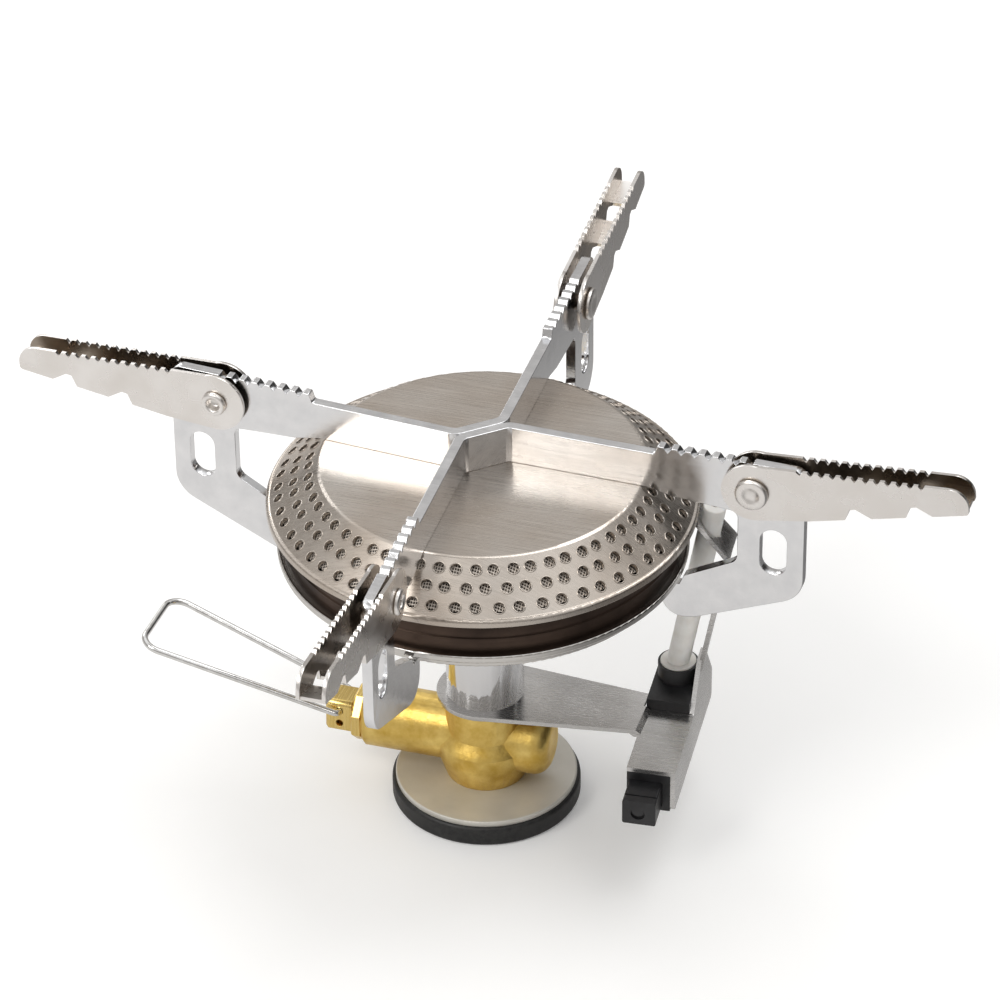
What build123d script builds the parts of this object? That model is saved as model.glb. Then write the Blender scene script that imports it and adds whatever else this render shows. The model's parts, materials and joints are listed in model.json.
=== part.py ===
"""Folding canister stove with a cross-shaped pot support and a piezo igniter.

Millimetres and degrees. The origin is at the foot of the valve's neck, on the axis of the
canister thread. +Z is up the mixing tube and +X points from the valve to the igniter, so the
wire handle of the valve is on the -X side.
"""

import os
from math import cos, radians, sin, tan

from build123d import *

os.makedirs("parts", exist_ok=True)

# ---------------------------------------------------------------- driving dimensions

SHEET = 0.6                  # thin sheet of the burner head
SLIP = 0.05                  # radial clearance of a turning or sliding fit

# base
gasket_r, gasket_bore_r, gasket_foot_z, gasket_top_z = 18.3, 12.5, -1.4, 2.8
disc_r, disc_t = 17.6, 1.1
disc_top = gasket_top_z + disc_t

# valve body and its thread for a 7/16 inch canister valve
neck_r, neck_z = 7.2, 0.0
thread_r, thread_len = 5.15, 6.0
relief_r, socket_top = 5.5, 8.6
valve_z = 12.0               # height of the spindle axis
barrel_r, barrel_left, barrel_right = 6.25, -24.0, 13.5
boss_foot_r, boss_wide_r, boss_wide_z, boss_r = 7.8, 9.6, 9.4, 7.8
spigot_r, spigot_top = 6.3, 26.5
chamber_r, chamber_end = 2.95, -1.3

# spindle and wire handle
spindle_r = 2.5
spindle_roll = -4.0          # turn of the spindle at rest, about +X
head_size, head_left, head_right = 6.9, -31.6, -26.3
cross_x, cross_pitch = -28.7, 2.7
wire_r = 0.65
handle_len, handle_half_root, handle_half_tip = 40.5, 4.5, 9.3
handle_tilt = 16.3           # lift of the loop at rest

# mixing tube and igniter bracket
bracket_t = 0.9
bracket_top = 22.8
bracket_bottom = bracket_top - bracket_t
tube_r, tube_top = 7.5, 60.0
strap_end_x, strap_root_r = 31.2, 9.4
strap_near_y, strap_far_y = -4.8, 7.0

# burner head, all radii about Z
pan_floor_z, pan_foot_r, pan_rim_r, pan_rim_z = 55.0, 36.5, 38.8, 57.4
bowl_r, bowl_foot_z = 37.2, 58.0
cap_rim_r, cap_rim_z = 40.6, 66.8
bevel_foot_r, bevel_foot_z = 39.8, 68.3
cap_r, cap_z = 30.6, 75.5
hole_rows = (32.5, 35.3, 38.2)
hole_r, pairs_per_row, pair_gap = 1.0, 30, 5.5
row_start, row_skew = -3.0, -2.75

# pot support: two bent strips, back to back along the hub
strip_t = 2.0
hub_azimuth, hub_half = 40.7, 3.9
strip_top, tooth_top = 83.1, 84.9
pivot_s, pivot_z = 49.3, 79.6
arms = {                     # azimuth of each arm, end of the hub it leaves, lift of its extension
    "right": (-2.0, 1, 4.4),
    "back": (90.0, 1, 3.0),
    "left": (175.0, -1, -3.6),
    "front": (270.4, -1, 8.0),
}

# folding extensions: channels open at the top
channel_gap, channel_t = 4.0, 0.7
channel_r, channel_top, channel_len, channel_taper = 5.9, 5.75, 40.8, 10.2
floor_start = 10.7
rivet_r, rivet_head_r, rivet_head_h, rivet_tail_r, rivet_tail_h = 1.6, 3.15, 1.2, 2.45, 0.8

# igniter: its own frame stands at the ceramic's foot, +x outwards and +y to the rear
igniter_x, igniter_y, igniter_turn = 35.15, 12.67, 4.0
channel_top_z = 22.1         # the strap steps down to this level over the housing
wall_in, wall_foot_z = 3.75, 13.2
box_left, box_front, box_rear, plate_rear = -4.65, -27.8, 5.6, -9.2
housing_z, housing_top = 12.6, channel_top_z - bracket_t
button_left, button_w, button_z, button_h = -4.2, 6.4, 13.9, 5.3
button_out, button_travel = 6.3, 4.0
striker_z = 16.5
ceramic_r, ceramic_foot, ceramic_top = 2.2, (-0.25, 0.0, 27.9), (7.0, -3.6, 67.4)
socket_r = 3.95


# ---------------------------------------------------------------- helpers

def direction(azimuth):
    """Horizontal unit vector at an azimuth."""
    return Vector(cos(radians(azimuth)), sin(radians(azimuth)), 0)


def root_point(name):
    """Point of the hub line from which an arm's distances are counted."""
    azimuth, end, lift = arms[name]
    return direction(hub_azimuth) * (hub_half * end)


def arm_plane(name):
    """Upright plane of an arm: local x runs outwards from its root, local y is up."""
    heading = direction(arms[name][0])
    return Plane(origin=root_point(name), x_dir=heading, z_dir=heading.cross(Vector(0, 0, 1)))


def pivot_plane(name):
    """The arm's plane moved to the pivot and turned by the extension's lift."""
    level = arm_plane(name)
    origin = level.from_local_coords((pivot_s, pivot_z, 0))
    lift = radians(arms[name][2])
    outwards = level.x_dir * cos(lift) + Vector(0, 0, 1) * sin(lift)
    return Plane(origin=origin, x_dir=outwards, z_dir=level.z_dir)


def write(builder, name):
    """Labels a finished piece and writes it as a node."""
    builder.part.label = name
    export_step(builder.part, f"parts/{name}.step")


igniter = Plane(origin=(igniter_x, igniter_y, 0), x_dir=direction(igniter_turn), z_dir=(0, 0, 1))


def igniter_front(y):
    """Plane across the igniter at a local y, facing its button end: local x, y are x and height."""
    return Plane(
        origin=igniter.from_local_coords((0, y, 0)), x_dir=igniter.x_dir, z_dir=-igniter.y_dir
    )


def igniter_side(x):
    """Plane along the igniter at a local x, facing outwards: local x, y are y and height."""
    return Plane(
        origin=igniter.from_local_coords((x, 0, 0)), x_dir=igniter.y_dir, z_dir=igniter.x_dir
    )


# ---------------------------------------------------------------- base

with BuildPart() as base_gasket:
    with BuildSketch(Plane.XY.offset(gasket_foot_z)):
        Circle(gasket_r)
        Circle(gasket_bore_r, mode=Mode.SUBTRACT)
    extrude(amount=gasket_top_z - gasket_foot_z)
    fillet(base_gasket.edges().filter_by(GeomType.CIRCLE).sort_by(SortBy.RADIUS)[-2:], 0.8)

with BuildPart() as base_disc:
    with BuildSketch(Plane.XY.offset(gasket_top_z)):
        Circle(disc_r)
        Circle(neck_r, mode=Mode.SUBTRACT)
    extrude(amount=disc_t)
    rim_edges = base_disc.edges().filter_by(GeomType.CIRCLE).sort_by(SortBy.RADIUS)[-2:]
    fillet(rim_edges.sort_by(Axis.Z)[-1], 0.3)

# ---------------------------------------------------------------- valve

outlet_x = 0.3               # the gas leaves the seat here and rises to the jet
jet_foot_z, jet_bore_r = 19.0, 2.5

with BuildPart() as valve_body:
    with BuildSketch(Plane.XZ):
        with BuildLine():
            Polyline(
                (0, neck_z),
                (neck_r, neck_z),
                (neck_r, disc_top),
                (boss_foot_r, disc_top),
                (boss_wide_r, boss_wide_z),
                (boss_wide_r, valve_z),
                (boss_r, valve_z + 2.5),
                (boss_r, bracket_bottom),
                (spigot_r, bracket_bottom),
                (spigot_r, spigot_top),
                (0, spigot_top),
                close=True,
            )
        make_face()
    revolve(axis=Axis.Z)
    with BuildSketch(Plane.YZ.offset(barrel_left)):
        with Locations((0, valve_z)):
            Circle(barrel_r)
    extrude(amount=barrel_right - barrel_left)
    barrel_ends = (
        valve_body.edges().filter_by(GeomType.CIRCLE).filter_by(lambda e: abs(e.radius - barrel_r) < 0.01)
    )
    fillet(barrel_ends.sort_by(Axis.X)[-1], 3.2)
    chamfer(barrel_ends.sort_by(Axis.X)[0], 0.9)
    # thread socket, spindle chamber and gas passages
    with BuildSketch(Plane.XY.offset(neck_z)):
        Circle(thread_r)
    extrude(amount=thread_len, mode=Mode.SUBTRACT)
    with BuildSketch(Plane.XY.offset(neck_z + thread_len)):
        Circle(relief_r)
    extrude(amount=socket_top - neck_z - thread_len, mode=Mode.SUBTRACT)
    with BuildSketch(Plane.YZ.offset(barrel_left)):
        with Locations((0, valve_z)):
            Circle(chamber_r)
    extrude(amount=chamber_end - barrel_left, mode=Mode.SUBTRACT)
    with BuildSketch(Plane.YZ.offset(barrel_left)):
        with Locations((0, valve_z)):
            Circle(4.2)
    extrude(amount=6.0, mode=Mode.SUBTRACT)
    with BuildSketch(Plane.YZ.offset(chamber_end)):
        with Locations((0, valve_z)):
            Circle(0.5)
    extrude(amount=outlet_x - chamber_end, mode=Mode.SUBTRACT)
    with BuildSketch(Plane.XY.offset(socket_top)):
        with Locations((-1.9, 0)):
            Circle(0.6)
        Circle(0.8)
    extrude(amount=2.0, mode=Mode.SUBTRACT)
    with BuildSketch(Plane.XY.offset(valve_z - 0.6)):
        with Locations((outlet_x, 0)):
            Circle(0.9)
    extrude(amount=6.0, mode=Mode.SUBTRACT)
    with BuildSketch(Plane.XY.offset(17.0)):
        Circle(1.7)
    extrude(amount=jet_foot_z - 17.0, mode=Mode.SUBTRACT)
    with BuildSketch(Plane.XY.offset(jet_foot_z)):
        Circle(jet_bore_r)
    extrude(amount=spigot_top - jet_foot_z, mode=Mode.SUBTRACT)

with BuildPart() as thread_seal:
    with BuildSketch(Plane.XY.offset(socket_top - 1.2)):
        Circle(relief_r - 0.1)
        Circle(2.7, mode=Mode.SUBTRACT)
    extrude(amount=1.2)

with BuildPart() as depressor_pin:
    with BuildSketch(Plane.XY.offset(neck_z + thread_len + 0.1)):
        Circle(0.8)
    extrude(amount=4.5)

with BuildPart() as jet_filter:
    with BuildSketch(Plane.XY.offset(17.0)):
        Circle(1.7)
    extrude(amount=jet_foot_z - 17.0)

with BuildPart() as jet:
    with BuildSketch(Plane.XY.offset(jet_foot_z)):
        Circle(jet_bore_r)
    extrude(amount=spigot_top - jet_foot_z)
    with BuildSketch(Plane.XY.offset(spigot_top)):
        RegularPolygon(radius=3.2, side_count=6)
    extrude(amount=2.4)
    with BuildSketch(Plane.XY.offset(jet_foot_z)):
        Circle(1.1)
    extrude(amount=8.2, mode=Mode.SUBTRACT)
    with BuildSketch(Plane.XY.offset(jet_foot_z)):
        Circle(0.2)
    extrude(amount=12.0, mode=Mode.SUBTRACT)

with BuildPart() as gland_nut:
    with BuildSketch(Plane.YZ.offset(barrel_left - 2.0)):
        with Locations((0, valve_z)):
            RegularPolygon(radius=5.7, side_count=8, rotation=22.5)
    extrude(amount=2.0)
    chamfer(gland_nut.faces().sort_by(Axis.X)[0].edges(), 0.4)
    with BuildSketch(Plane.YZ.offset(barrel_left)):
        with Locations((0, valve_z)):
            Circle(4.2)
    extrude(amount=6.0)
    with BuildSketch(Plane.YZ.offset(barrel_left - 2.0)):
        with Locations((0, valve_z)):
            Circle(spindle_r + SLIP)
    extrude(amount=8.0, mode=Mode.SUBTRACT)

# The spindle and its handle are drawn in a frame on the spindle axis that has their roll.
roll = radians(spindle_roll)
spindle_up = Vector(0, -sin(roll), cos(roll))
spindle_across = Plane(origin=(0, 0, valve_z), x_dir=spindle_up.cross(Vector(1, 0, 0)), z_dir=(1, 0, 0))
seal_x, seal_r = -15.2, 0.75

with BuildPart() as spindle:
    with BuildSketch(Plane.XZ):
        with BuildLine():
            Polyline(
                (head_right, valve_z),
                (head_right, valve_z + spindle_r),
                (seal_x - seal_r, valve_z + spindle_r),
                (seal_x - seal_r, valve_z + chamber_r - 2 * seal_r),
                (seal_x + seal_r, valve_z + chamber_r - 2 * seal_r),
                (seal_x + seal_r, valve_z + spindle_r),
                (-6.0, valve_z + spindle_r),
                (-6.0, valve_z + 1.5),
                (-3.6, valve_z + 1.5),
                (chamber_end - 0.02, valve_z + 0.3),
                (chamber_end - 0.02, valve_z),
                close=True,
            )
        make_face()
    revolve(axis=Axis((0, 0, valve_z), (1, 0, 0)))
    with BuildSketch(spindle_across.offset(head_left)):
        RectangleRounded(head_size, head_size, 1.2)
    extrude(amount=head_right - head_left)
    chamfer(spindle.faces().sort_by(Axis.X)[0].edges(), 0.5)
    for side in (-1, 1):
        centre = Vector(cross_x, 0, valve_z) + spindle_up * (side * cross_pitch / 2)
        hole_plane = Plane(origin=centre, x_dir=(1, 0, 0), z_dir=spindle_across.x_dir)
        with BuildSketch(hole_plane):
            Circle(wire_r + 0.08)
        extrude(amount=head_size, both=True, mode=Mode.SUBTRACT)

with BuildPart() as spindle_seal:
    with BuildSketch(Plane.XZ):
        with Locations((seal_x, valve_z + chamber_r - seal_r)):
            Circle(seal_r)
    revolve(axis=Axis((0, 0, valve_z), (1, 0, 0)))

handle_axis = Vector(cross_x, 0, valve_z) + spindle_up * (cross_pitch / 2)
handle_out = Vector(-cos(radians(handle_tilt)), 0, 0) + spindle_up * sin(radians(handle_tilt))
handle_side = spindle_across.x_dir
handle_plane = Plane(origin=handle_axis, x_dir=handle_out, z_dir=handle_out.cross(handle_side))

with BuildPart() as control_handle:
    with BuildLine(handle_plane) as handle_path:
        FilletPolyline(
            (0, 1.2),
            (0, handle_half_root),
            (handle_len, handle_half_tip),
            (handle_len, -handle_half_tip),
            (0, -handle_half_root),
            (0, -1.2),
            radius=(1.1, 3.5, 3.5, 1.1),
        )
    with BuildSketch(Plane(origin=handle_path.line @ 0, z_dir=handle_path.line % 0)):
        Circle(wire_r)
    sweep()

# ---------------------------------------------------------------- mixing tube and burner head

air_hole_r, air_hole_z = 2.3, 32.0
air_hole_azimuths = (62.0, 107.0, 152.0)     # on the side away from the button

with BuildPart() as mixing_tube:
    with BuildSketch(Plane.XY.offset(bracket_top)):
        Circle(tube_r)
        Circle(spigot_r, mode=Mode.SUBTRACT)
    extrude(amount=tube_top - bracket_top)
    for azimuth in air_hole_azimuths:
        side = Plane(origin=(0, 0, air_hole_z), x_dir=(0, 0, 1), z_dir=direction(azimuth))
        with BuildSketch(side):
            Circle(air_hole_r)
        extrude(amount=tube_r + 1, mode=Mode.SUBTRACT)

with BuildPart() as tube_locknut:
    with BuildSketch(Plane.XY.offset(pan_floor_z - 2.6)):
        RegularPolygon(radius=11.0, side_count=6)
        Circle(tube_r, mode=Mode.SUBTRACT)
    extrude(amount=2.6)

with BuildPart() as burner_pan:
    with BuildSketch(Plane.XZ):
        with BuildLine():
            FilletPolyline(
                (tube_r, pan_floor_z),
                (pan_foot_r, pan_floor_z),
                (pan_foot_r, pan_rim_z),
                (pan_rim_r, pan_rim_z),
                (pan_rim_r, pan_rim_z + 1.5),
                (pan_rim_r - SHEET, pan_rim_z + 1.5),
                (pan_rim_r - SHEET, pan_rim_z + SHEET),
                (pan_foot_r - SHEET, pan_rim_z + SHEET),
                (pan_foot_r - SHEET, pan_floor_z + SHEET),
                (tube_r, pan_floor_z + SHEET),
                radius=(0, 0.5, 0.2, 0.5, 0.25, 0.25, 0.1, 0.5, 0.2, 0),
                close=True,
            )
        make_face()
    revolve(axis=Axis.Z)

with BuildPart() as burner_bowl:
    with BuildSketch(Plane.XZ):
        with BuildLine():
            Polyline(
                (bowl_r, bowl_foot_z),
                (bowl_r, 61.9),
                (bowl_r + 0.25, 62.1),
                (bowl_r, 62.3),
                (bowl_r, cap_rim_z + 0.1),
                (cap_rim_r - SHEET - 0.1, cap_rim_z + 0.1),
                (cap_rim_r - SHEET - 0.1, cap_rim_z + 0.6),
                (bowl_r - SHEET, cap_rim_z + 0.6),
                (bowl_r - SHEET, bowl_foot_z),
                close=True,
            )
        make_face()
    revolve(axis=Axis.Z)

bevel_run, bevel_drop = bevel_foot_r - cap_r, cap_z - bevel_foot_z
bevel_normal = Vector(bevel_drop, 0, bevel_run).normalized()

with BuildPart() as burner_cap:
    with BuildSketch(Plane.XZ):
        with BuildLine():
            FilletPolyline(
                (0, cap_z),
                (cap_r, cap_z),
                (bevel_foot_r, bevel_foot_z),
                (cap_rim_r, bevel_foot_z),
                (cap_rim_r, cap_rim_z),
                (cap_rim_r - SHEET, cap_rim_z),
                (cap_rim_r - SHEET, bevel_foot_z - SHEET),
                (bevel_foot_r - 0.35, bevel_foot_z - SHEET),
                (cap_r - 0.3, cap_z - SHEET),
                (0, cap_z - SHEET),
                radius=(0, 1.0, 0.2, 0.6, 0.2, 0.2, 0.1, 0.1, 0.5, 0),
                close=True,
            )
        make_face()
    revolve(axis=Axis.Z)
    hole_planes = []
    for row, radius in enumerate(hole_rows):
        height = cap_z - (radius - cap_r) * bevel_drop / bevel_run
        for pair in range(pairs_per_row):
            start = pair * 360 / pairs_per_row + row_start + row * row_skew
            for azimuth in (start, start + pair_gap):
                spot = direction(azimuth) * radius + Vector(0, 0, height)
                normal = direction(azimuth) * bevel_normal.X + Vector(0, 0, bevel_normal.Z)
                hole_planes.append(Plane(origin=spot, z_dir=normal))
    with Locations(*hole_planes):
        Cylinder(radius=hole_r, height=3 * SHEET, mode=Mode.SUBTRACT)

gauze_t, gauze_gap = 0.3, 0.25

with BuildPart() as flame_gauze:
    with BuildSketch(Plane.XZ):
        gap = bevel_normal * (SHEET + gauze_gap)
        back = bevel_normal * (SHEET + gauze_gap + gauze_t)
        with BuildLine():
            Polyline(
                (cap_r - gap.X, cap_z - gap.Z),
                (bevel_foot_r - 1.2 - gap.X, bevel_foot_z + 1.2 * bevel_drop / bevel_run - gap.Z),
                (bevel_foot_r - 1.2 - back.X, bevel_foot_z + 1.2 * bevel_drop / bevel_run - back.Z),
                (cap_r - back.X, cap_z - back.Z),
                close=True,
            )
        make_face()
    revolve(axis=Axis.Z)

spreader_z, spreader_r, post_ring_r = 63.5, 18.0, 13.0

with BuildPart() as flow_spreader:
    with BuildSketch(Plane.XY.offset(spreader_z)):
        Circle(spreader_r)
    extrude(amount=0.8)
    with BuildSketch(Plane.XY.offset(pan_floor_z + SHEET)):
        with PolarLocations(post_ring_r, 4, start_angle=45):
            Rectangle(1.0, 4.0)
    extrude(amount=spreader_z - pan_floor_z - SHEET)

# ---------------------------------------------------------------- pot support

tooth_pitch, tooth_depth, teeth_from, teeth_count = 2.6, 1.0, 32.6, 7
slot_s, slot_z, slot_w, slot_h = 53.15, 66.0, 5.1, 9.9
bend_run = 10.0              # the flat sides of the arms start this far from their roots


def support_side():
    """Side view of one arm of the pot support: beam, outer post with its slot, and hook."""
    with BuildSketch() as side:
        with BuildLine():
            FilletPolyline(
                (bend_run - 1, cap_z),
                (28.5, cap_z),
                (33.5, 74.4),
                (46.2, 73.6),
                (46.2, 62.6),
                (36.0, 57.0),
                (35.2, 54.9),
                (31.6, 54.9),
                (31.9, 46.8),
                (38.3, 47.9),
                (59.0, 56.9),
                (59.0, tooth_top),
                (30.6, tooth_top),
                (30.0, strip_top),
                (bend_run - 1, strip_top),
                radius=(0, 1.5, 2.0, 1.6, 2.2, 0.4, 0.2, 0.4, 4.0, 6.0, 6.0, 2.2, 0.3, 0.5, 0),
                close=True,
            )
        make_face()
        with Locations((slot_s, slot_z)):
            SlotOverall(slot_h, slot_w, rotation=90, mode=Mode.SUBTRACT)
        with Locations((pivot_s, pivot_z)):
            Circle(rivet_r + SLIP, mode=Mode.SUBTRACT)
        notches = [(teeth_from + i * tooth_pitch, tooth_top) for i in range(teeth_count)]
        with Locations(*notches):
            Polygon((-1.0, 0.3), (0, -tooth_depth), (1.0, 0.3), align=None, mode=Mode.SUBTRACT)
    return side.sketch


def bend_corner(name, side):
    """Where the middle plane of an arm meets that of the hub length of its strip."""
    heading, hub = direction(arms[name][0]), direction(hub_azimuth)
    on_hub = Vector(-hub.Y, hub.X, 0) * (side * strip_t / 2)
    gap = root_point(name) - on_hub
    along = heading.cross(gap).Z / heading.cross(hub).Z
    return on_hub + hub * along


def pot_strip(first, second, side):
    """One strip: two arms joined by the length that is welded to the other strip."""
    with BuildPart() as strip:
        with BuildLine(Plane.XY.offset(cap_z)):
            ends = [root_point(name) + direction(arms[name][0]) * bend_run for name in (first, second)]
            corners = [bend_corner(name, side) for name in (first, second)]
            path = FilletPolyline(
                *[(p.X, p.Y) for p in (ends[0], corners[0], corners[1], ends[1])], radius=2.6
            )
        with BuildSketch(Plane.XY.offset(cap_z)):
            trace(path, strip_t)
        extrude(amount=strip_top - cap_z)
        for name in (first, second):
            with BuildSketch(arm_plane(name)):
                add(support_side())
            extrude(amount=strip_t / 2, both=True)
    return strip


pot_strip_a = pot_strip("front", "right", -1)
pot_strip_b = pot_strip("left", "back", 1)

# extensions, drawn level about their pivot
slope = tan(radians(channel_taper))
notch_starts, notch_len, notch_rise = (17.5, 29.0), 5.0, 2.3
extension_pitch, extension_teeth, extension_first, extension_tooth = 2.08, 12, 9.2, 0.9
bend_x, bend_foot = 10.3, -4.76      # the lower edge turns here from the round end's tangent


def foot_height(x):
    """Height of an extension's lower edge beyond its bend, rising to the tip."""
    return bend_foot + (x - bend_x) * slope


def channel_wall():
    """Side wall of an extension, with its teeth, notches and rivet hole."""
    with BuildSketch() as wall:
        Circle(channel_r)
        with BuildLine():
            FilletPolyline(
                (0.8, channel_top),
                (0, 0),
                (0.7, -channel_r + 0.05),
                (bend_x, bend_foot),
                (channel_len, foot_height(channel_len)),
                (channel_len, channel_top),
                radius=(0, 0, 0, 0, 0.7, 3.6),
                close=True,
            )
        make_face()
        Circle(rivet_r, mode=Mode.SUBTRACT)
        for x in notch_starts:
            with BuildLine():
                Polyline(
                    (x, foot_height(x) - 0.5),
                    (x, foot_height(x)),
                    (x + 0.9, foot_height(x) + notch_rise),
                    (x + 2.0, foot_height(x) + notch_rise + 0.25),
                    (x + notch_len, foot_height(x + notch_len)),
                    (x + notch_len, foot_height(x + notch_len) - 0.5),
                    close=True,
                )
            make_face(mode=Mode.SUBTRACT)
        notches = [(extension_first + i * extension_pitch, channel_top) for i in range(extension_teeth)]
        with Locations(*notches):
            Polygon(
                (-0.8, 0.3), (0, -extension_tooth), (0.8, 0.3), align=None, mode=Mode.SUBTRACT
            )
    return wall.sketch


def channel_floor():
    """Side view of the lengths of floor that are left between the notches."""
    edges = [floor_start]
    for x in notch_starts:
        edges += [x, x + notch_len]
    edges.append(channel_len - 0.4)
    with BuildSketch() as floor:
        for low, high in zip(edges[::2], edges[1::2]):
            with BuildLine():
                Polyline(
                    (low, foot_height(low)),
                    (high, foot_height(high)),
                    (high, foot_height(high) + channel_t),
                    (low, foot_height(low) + channel_t),
                    close=True,
                )
            make_face()
    return floor.sketch


def extension(name):
    """One folding extension, at its angle of rest."""
    plane = pivot_plane(name)
    with BuildPart() as arm:
        for offset_z in (channel_gap / 2, -channel_gap / 2 - channel_t):
            with BuildSketch(plane.offset(offset_z)):
                add(channel_wall())
            extrude(amount=channel_t)
        with BuildSketch(plane):
            add(channel_floor())
        extrude(amount=channel_gap / 2 + channel_t / 2, both=True)
    return arm


def rivet(name):
    """One pivot rivet: domed head on the clockwise side, hollow tail on the other."""
    plane = pivot_plane(name)
    half = channel_gap / 2 + channel_t
    with BuildPart() as pin:
        with BuildSketch(plane):
            Circle(rivet_r)
        extrude(amount=half, both=True)
        with BuildSketch(plane.offset(half)):
            Circle(rivet_head_r)
        extrude(amount=rivet_head_h)
        head_edge = pin.edges().filter_by(GeomType.CIRCLE).sort_by(SortBy.RADIUS)[-2:]
        fillet(head_edge.sort_by(Axis(plane.origin, plane.z_dir))[-1], 1.0)
        with BuildSketch(plane.offset(-half)):
            Circle(rivet_tail_r)
        extrude(amount=-rivet_tail_h)
        with BuildSketch(plane.offset(-half - rivet_tail_h)):
            Circle(1.3)
        extrude(amount=1.6, mode=Mode.SUBTRACT)
    return pin


# ---------------------------------------------------------------- igniter

upright_front, upright_rear, upright_foot_z, upright_top = -2.2, 1.9, 27.0, (9.3, 57.5)
tab_end, tab_front, tab_rear = (2.6, 65.1), -6.8, 1.9
blade_foot, blade_bend, blade_tip, blade_front = (4.2, 63.5), (4.2, 69.5), (-1.7, 74.3), 0.0
ceramic_axis = Vector(*ceramic_top) - Vector(*ceramic_foot)


def ceramic_plane(along):
    """Plane square to the leaning ceramic, at a distance along it from its foot."""
    spot = Vector(*ceramic_foot) + ceramic_axis.normalized() * along
    lean = igniter.from_local_coords(Vector(*ceramic_top)) - igniter.from_local_coords(
        Vector(*ceramic_foot)
    )
    return Plane(origin=igniter.from_local_coords(spot), z_dir=lean)


step_far_y = 3.0             # the strap's step down stops short of the housing's raised block

with BuildPart() as igniter_bracket:
    # ring round the tube and the strap that leaves it
    with BuildSketch(Plane.XY.offset(bracket_bottom)):
        Circle(strap_root_r)
        Polygon(
            (0, -strap_root_r),
            (strap_end_x, strap_near_y),
            (strap_end_x, step_far_y),
            (strap_end_x - 0.5, step_far_y),
            (strap_end_x - 0.5, strap_far_y),
            (1.0, strap_root_r - 0.05),
            align=None,
        )
        Circle(spigot_r, mode=Mode.SUBTRACT)
    extrude(amount=bracket_t)
    # step down to the cover of the housing
    with BuildSketch(Plane.XZ.offset(-step_far_y)):
        Polygon(
            (strap_end_x - 1.4, bracket_top),
            (strap_end_x, bracket_top),
            (strap_end_x + 1.0, channel_top_z),
            (strap_end_x + 1.0, housing_top),
            (strap_end_x - 0.4, housing_top),
            (strap_end_x - 1.4, bracket_bottom),
            align=None,
        )
    extrude(amount=step_far_y - strap_near_y)
    with BuildSketch(igniter.offset(housing_top)):
        with BuildLine():
            Polyline(
                (box_left, box_front),
                (wall_in + bracket_t, box_front),
                (wall_in + bracket_t, plate_rear),
                (box_left, plate_rear),
                close=True,
            )
        make_face()
    extrude(amount=bracket_t)
    # outer wall, rising to the foot of the upright
    with BuildSketch(igniter_side(wall_in)):
        with BuildLine():
            FilletPolyline(
                (box_front, wall_foot_z),
                (9.2, wall_foot_z),
                (9.2, 20.0),
                (upright_rear, 30.0),
                (upright_front, 30.0),
                (plate_rear, channel_top_z),
                (box_front, channel_top_z),
                radius=(0.8, 1.0, 1.5, 0, 0, 0.6, 0),
                close=True,
            )
        make_face()
    extrude(amount=bracket_t)
    # leaning upright and the clip tab that holds the ceramic over the burner
    lean = (upright_top[0] - wall_in) / (upright_top[1] - upright_foot_z)
    with BuildSketch(igniter_front(upright_rear)):
        Polygon(
            (wall_in, upright_foot_z - 0.5),
            (wall_in + bracket_t, upright_foot_z - 0.5),
            (wall_in + bracket_t, upright_foot_z),
            (upright_top[0] + bracket_t, upright_top[1]),
            (upright_top[0], upright_top[1]),
            (wall_in, upright_foot_z),
            align=None,
        )
    extrude(amount=upright_rear - upright_front)
    tab_run = Vector(tab_end[0] - upright_top[0], tab_end[1] - upright_top[1])
    tab_heading = igniter.x_dir * tab_run.X + Vector(0, 0, tab_run.Y)
    tab_plane = Plane(
        origin=igniter.from_local_coords((upright_top[0], 0, upright_top[1])),
        x_dir=tab_heading,
        z_dir=igniter.y_dir.cross(tab_heading),
    )
    with BuildSketch(tab_plane):
        with BuildLine():
            FilletPolyline(
                (-0.7, -tab_front),
                (tab_run.length, -tab_front - 0.8),
                (tab_run.length, -tab_rear),
                (-0.7, -tab_rear),
                radius=(0.6, 2.2, 0.8, 0.4),
                close=True,
            )
        make_face()
    extrude(amount=bracket_t)
    # narrow blade that climbs past the cap's rim and reaches over the bevel
    with BuildSketch(igniter_front(tab_rear)):
        Polygon(
            blade_foot,
            (blade_foot[0] + bracket_t, blade_foot[1] - 1.0),
            (blade_bend[0] + bracket_t, blade_bend[1] + 0.5),
            (blade_tip[0] + 0.5, blade_tip[1] + 0.75),
            blade_tip,
            blade_bend,
            align=None,
        )
    extrude(amount=tab_rear - blade_front)
    with BuildSketch(ceramic_plane(0)):
        Circle(ceramic_r + 0.15)
    extrude(amount=ceramic_axis.length + 5, mode=Mode.SUBTRACT)

button_right, button_top = button_left + button_w, button_z + button_h
button_mid = (button_left + button_w / 2, button_z + button_h / 2)
button_rear_y, slot_rear_y, crystal_y = -17.2, -13.0, -3.0
striker_x = button_mid[0]
lug_w, lug_h = 2.4, 0.7

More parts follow.
